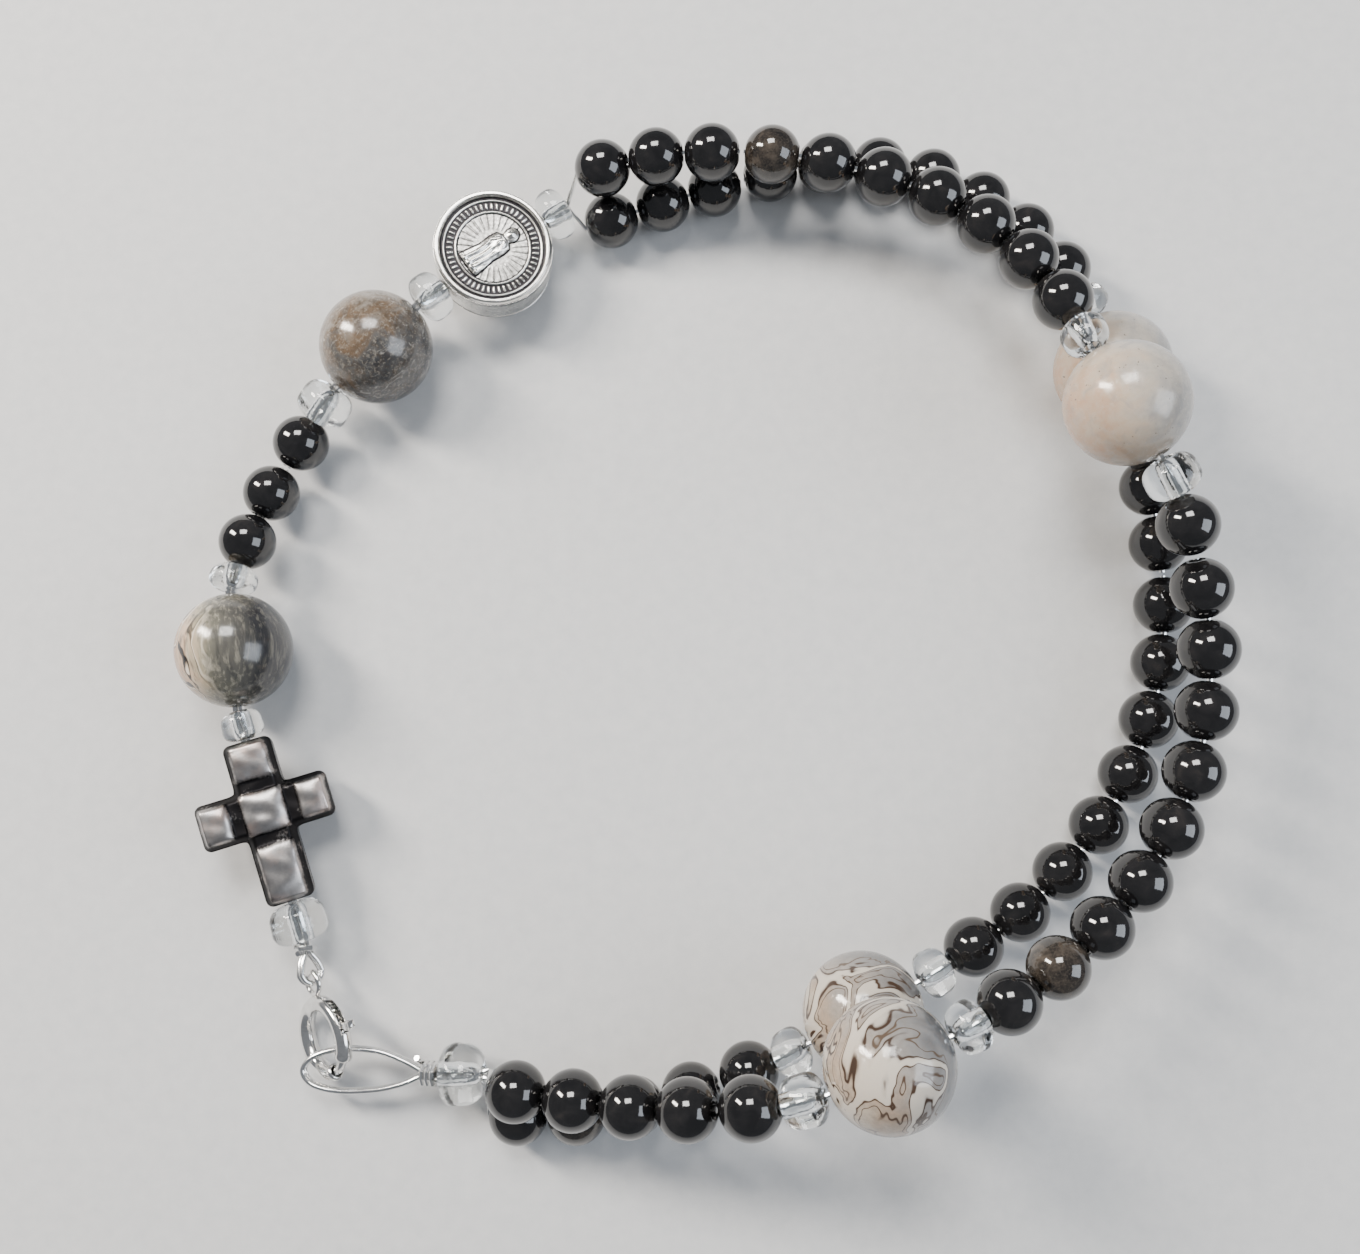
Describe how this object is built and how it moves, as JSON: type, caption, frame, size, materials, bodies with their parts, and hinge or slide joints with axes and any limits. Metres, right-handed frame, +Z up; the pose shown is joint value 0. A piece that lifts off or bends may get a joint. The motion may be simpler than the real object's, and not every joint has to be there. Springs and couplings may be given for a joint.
{
  "type": "rosary bracelet",
  "caption": "Beaded rosary bracelet with a cross bead, a coin medal bead, stone and glass beads on fine wire, closed by a spring ring clasp hooked through a wire loop.",
  "frame": {"origin": "middle of the bracelet's bounding box, on the surface it lies on", "axes": "+Z up from the surface the bracelet lies on; +Y from the clasp side towards the medal side; the clasp is at -X -Y"},
  "size_m": [0.0704, 0.07, 0.0157],
  "materials": {
    "black_stone": "polished black beads, high gloss",
    "banded_jasper": "polished stone banded in grey, cream and black",
    "mottled_jasper": "polished stone mottled in grey, brown and pink",
    "pale_jasper": "polished pale cream stone with fine specks",
    "map_jasper": "polished cream and grey stone with brown veins",
    "clear_glass": "clear pressed glass",
    "gunmetal": "dark gunmetal with worn bright edges",
    "antique_silver": "antiqued silver with dark hollows",
    "silver_wire": "bright fine wire",
    "silver_clasp": "bright silvery plating, slightly worn"
  },
  "bodies": {
    "decades_1_and_5": {"decade_1_beads_4_to_6": "black_stone", "decade_1_beads_7_to_10": "black_stone", "decade_2_bead_1": "black_stone", "decade_5_beads_1_to_3": "black_stone", "decade_5_beads_4_to_7": "black_stone", "decade_4_beads_9_to_10": "black_stone", "spacer_7": "clear_glass", "spacer_8": "clear_glass", "spacer_14": "clear_glass", "spacer_15": "clear_glass", "wire_decades_1_and_5": "silver_wire"},
    "medal_side": {"decade_1_beads_1_to_3": "black_stone", "decade_5_beads_8_to_10": "black_stone", "hail_mary_bead_3": "black_stone", "spacer_4": "clear_glass", "spacer_5": "clear_glass", "spacer_6": "clear_glass", "wire_medal_side": "silver_wire"},
    "cross_side": {"hail_mary_bead_1": "black_stone", "hail_mary_bead_2": "black_stone", "spacer_1": "clear_glass", "spacer_2": "clear_glass", "spacer_3": "clear_glass", "wire_cross_side": "silver_wire", "head_loop": "silver_wire", "head_wrap": "silver_wire"},
    "decades_2_and_4": {"decade_2_beads_2_to_5": "black_stone", "decade_2_beads_6_to_10": "black_stone", "decade_3_bead_1": "black_stone", "decade_4_beads_1_to_4": "black_stone", "decade_4_beads_5_to_8": "black_stone", "decade_3_bead_10": "black_stone", "spacer_9": "clear_glass", "spacer_10": "clear_glass", "spacer_12": "clear_glass", "spacer_13": "clear_glass", "wire_decades_2_and_4": "silver_wire"},
    "decade_3": {"decade_3_beads_2_to_5": "black_stone", "decade_3_beads_6_to_9": "black_stone", "spacer_11": "clear_glass", "wire_decade_3": "silver_wire", "end_loop": "silver_wire", "end_wrap": "silver_wire"},
    "clasp": {"clasp_ring": "silver_clasp", "clasp_eye": "silver_clasp", "clasp_spring": "silver_clasp"},
    "clasp_trigger": {"clasp_trigger": "silver_clasp"},
    "cross": {"cross": "gunmetal"},
    "medal": {"medal": "antique_silver"},
    "our_father_bead_1": {"our_father_bead_1": "banded_jasper"},
    "our_father_bead_2": {"our_father_bead_2": "mottled_jasper"},
    "our_father_bead_3": {"our_father_bead_3": "pale_jasper"},
    "our_father_bead_4": {"our_father_bead_4": "map_jasper"},
    "our_father_bead_5": {"our_father_bead_5": "map_jasper"},
    "our_father_bead_6": {"our_father_bead_6": "pale_jasper"}
  },
  "joints": [
    {"name": "top_bend", "type": "hinge", "parent": "decades_1_and_5", "child": "medal_side", "pos_m": [0.00384, 0.03198, 0.00303], "axis": [0, 0, 1], "range_deg": [-8, 8]},
    {"name": "left_bend", "type": "hinge", "parent": "medal_side", "child": "cross_side", "pos_m": [-0.02876, 0.01108, 0.00233], "axis": [0, 0, 1], "range_deg": [-6, 6]},
    {"name": "right_bend", "type": "hinge", "parent": "decades_1_and_5", "child": "decades_2_and_4", "pos_m": [0.03224, 0.00288, 0.00303], "axis": [0, 0, 1], "range_deg": [-8, 8]},
    {"name": "bottom_bend", "type": "hinge", "parent": "decades_2_and_4", "child": "decade_3", "pos_m": [0.00204, -0.03082, 0.00303], "axis": [0, 0, 1], "range_deg": [-8, 8]},
    {"name": "clasp_roll", "type": "hinge", "parent": "cross_side", "child": "clasp", "pos_m": [-0.02456, -0.02822, 0.0022], "axis": [-0.2588, 0.9659, 0], "range_deg": [-25, 8]},
    {"name": "trigger_travel", "type": "hinge", "parent": "clasp", "child": "clasp_trigger", "pos_m": [-0.02456, -0.02822, 0.0022], "axis": [-0.6588, -0.1765, 0.7314], "range_deg": [0, 40], "stiffness_Nm_per_rad": 0.0002, "springref_deg": -17.19, "deforming": ["clasp_spring"]},
    {"name": "cross_spin", "type": "hinge", "parent": "cross_side", "child": "cross", "pos_m": [-0.02863, -0.01376, 0.00313], "axis": [-0.291, 0.9526, 0.0881], "continuous": true},
    {"name": "medal_spin", "type": "hinge", "parent": "medal_side", "child": "medal", "pos_m": [-0.01393, 0.02621, 0.00347], "axis": [0.7901, 0.6025, -0.1132], "continuous": true},
    {"name": "our_father_1_spin", "type": "hinge", "parent": "cross_side", "child": "our_father_bead_1", "pos_m": [-0.03127, -0.00216, 0.00397], "axis": [-0.0954, 0.9949, 0.0335], "continuous": true},
    {"name": "our_father_2_spin", "type": "hinge", "parent": "medal_side", "child": "our_father_bead_2", "pos_m": [-0.02202, 0.01932, 0.004], "axis": [0.7196, 0.6905, 0.0738], "continuous": true},
    {"name": "our_father_3_spin", "type": "hinge", "parent": "decades_1_and_5", "child": "our_father_bead_3", "pos_m": [0.02793, 0.01239, 0.01056], "axis": [0.4623, -0.8841, 0.0682], "continuous": true},
    {"name": "our_father_4_spin", "type": "hinge", "parent": "decades_2_and_4", "child": "our_father_bead_4", "pos_m": [0.01213, -0.02779, 0.01173], "axis": [-0.9103, -0.4117, 0.0445], "continuous": true},
    {"name": "our_father_5_spin", "type": "hinge", "parent": "decades_2_and_4", "child": "our_father_bead_5", "pos_m": [0.01131, -0.02602, 0.00395], "axis": [-0.8776, -0.479, 0.0207], "continuous": true},
    {"name": "our_father_6_spin", "type": "hinge", "parent": "decades_1_and_5", "child": "our_father_bead_6", "pos_m": [0.02903, 0.01678, 0.00397], "axis": [0.3079, -0.9508, 0.0333], "continuous": true}
  ],
  "couplings": [
    {"joint": "top_bend", "follows": "right_bend", "ratio": 0.998},
    {"joint": "left_bend", "follows": "right_bend", "ratio": -0.689},
    {"joint": "bottom_bend", "follows": "right_bend", "ratio": -0.956}
  ]
}
